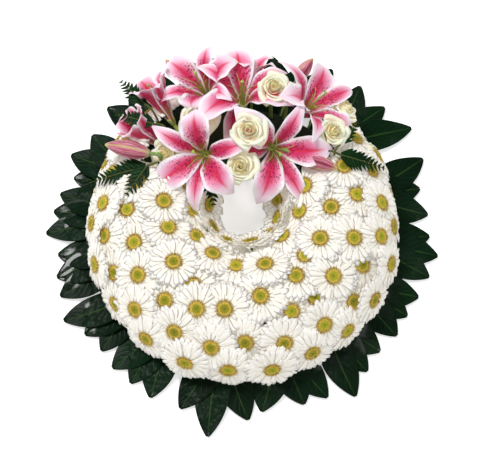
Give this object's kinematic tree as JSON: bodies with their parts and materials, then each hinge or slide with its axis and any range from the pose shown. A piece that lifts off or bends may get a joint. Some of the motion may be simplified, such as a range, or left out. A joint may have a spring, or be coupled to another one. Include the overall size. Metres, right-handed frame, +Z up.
{
  "type": "funeral wreath",
  "caption": "Ring of white gerberas edged with dark glossy leaves, with a spray of pink lilies, cream roses and fern at the back, in a wet foam ring.",
  "frame": {"origin": "middle of the outline of the leaves, on the plane of the underside of the tray; the axis of the ring stands 2.8 mm to +X and 6.5 mm to +Y of it", "axes": "+Z straight up out of the flowers, along the axis of the centre hole; +Y towards the lilies; +X to the right, seen from above with the lilies at the top"},
  "size_m": [0.5638, 0.589, 0.1682],
  "materials": {
    "tray": "dark green moulded plastic, slightly glossy",
    "foam": "wet green floral foam, open and matt",
    "leaf": "thick living leaf, very dark green with a waxy gloss and a paler midrib",
    "fern": "living leatherleaf fern, dark green, semi-gloss",
    "gerbera": "living white petals with a golden-brown ring and a yellow-green eye",
    "rose": "living cream petals, soft sheen",
    "lily": "living petals, pink with white edges, a deep pink stripe and magenta freckles",
    "bud": "closed petals, salmon pink with green-yellow ridges"
  },
  "bodies": {
    "root": {"tray": "tray", "foam_ring": "foam", "leaf_sprig_01": "leaf", "leaf_sprig_02": "leaf", "leaf_sprig_03": "leaf", "leaf_sprig_04": "leaf", "leaf_sprig_05": "leaf", "leaf_sprig_06": "leaf", "leaf_sprig_07": "leaf", "leaf_sprig_08": "leaf", "leaf_sprig_09": "leaf", "leaf_sprig_10": "leaf", "leaf_sprig_11": "leaf", "leaf_sprig_12": "leaf", "leaf_sprig_13": "leaf", "leaf_sprig_14": "leaf", "leaf_sprig_15": "leaf", "fern_left": "fern", "fern_far_left": "fern", "fern_upper_left": "fern", "fern_right": "fern", "fern_upper_right": "fern", "fern_hole_left": "fern", "fern_hole_right": "fern", "gerberas_01": "gerbera", "gerberas_02": "gerbera", "gerberas_03": "gerbera", "gerberas_04": "gerbera", "gerberas_05": "gerbera", "gerberas_06": "gerbera", "gerberas_07": "gerbera", "gerberas_08": "gerbera", "gerberas_09": "gerbera", "gerberas_10": "gerbera", "gerberas_11": "gerbera", "gerberas_12": "gerbera", "gerberas_13": "gerbera", "gerberas_14": "gerbera", "gerberas_15": "gerbera", "rose_inner": "rose", "rose_middle": "rose", "rose_left": "rose", "rose_upper_left": "rose", "rose_crown": "rose", "rose_right": "rose", "rose_far_right": "rose", "rose_small_right": "rose", "rose_small_east": "rose", "lily_front_left": "lily", "lily_front_right": "lily", "lily_crown": "lily", "lily_right": "lily", "lily_left": "lily", "lily_far_left": "lily", "lily_back": "lily", "lily_side_left": "lily", "lily_bud_left": "bud", "lily_bud_right": "bud", "lily_bud_back_left": "bud", "lily_bud_back_right": "bud"}
  },
  "joints": []
}
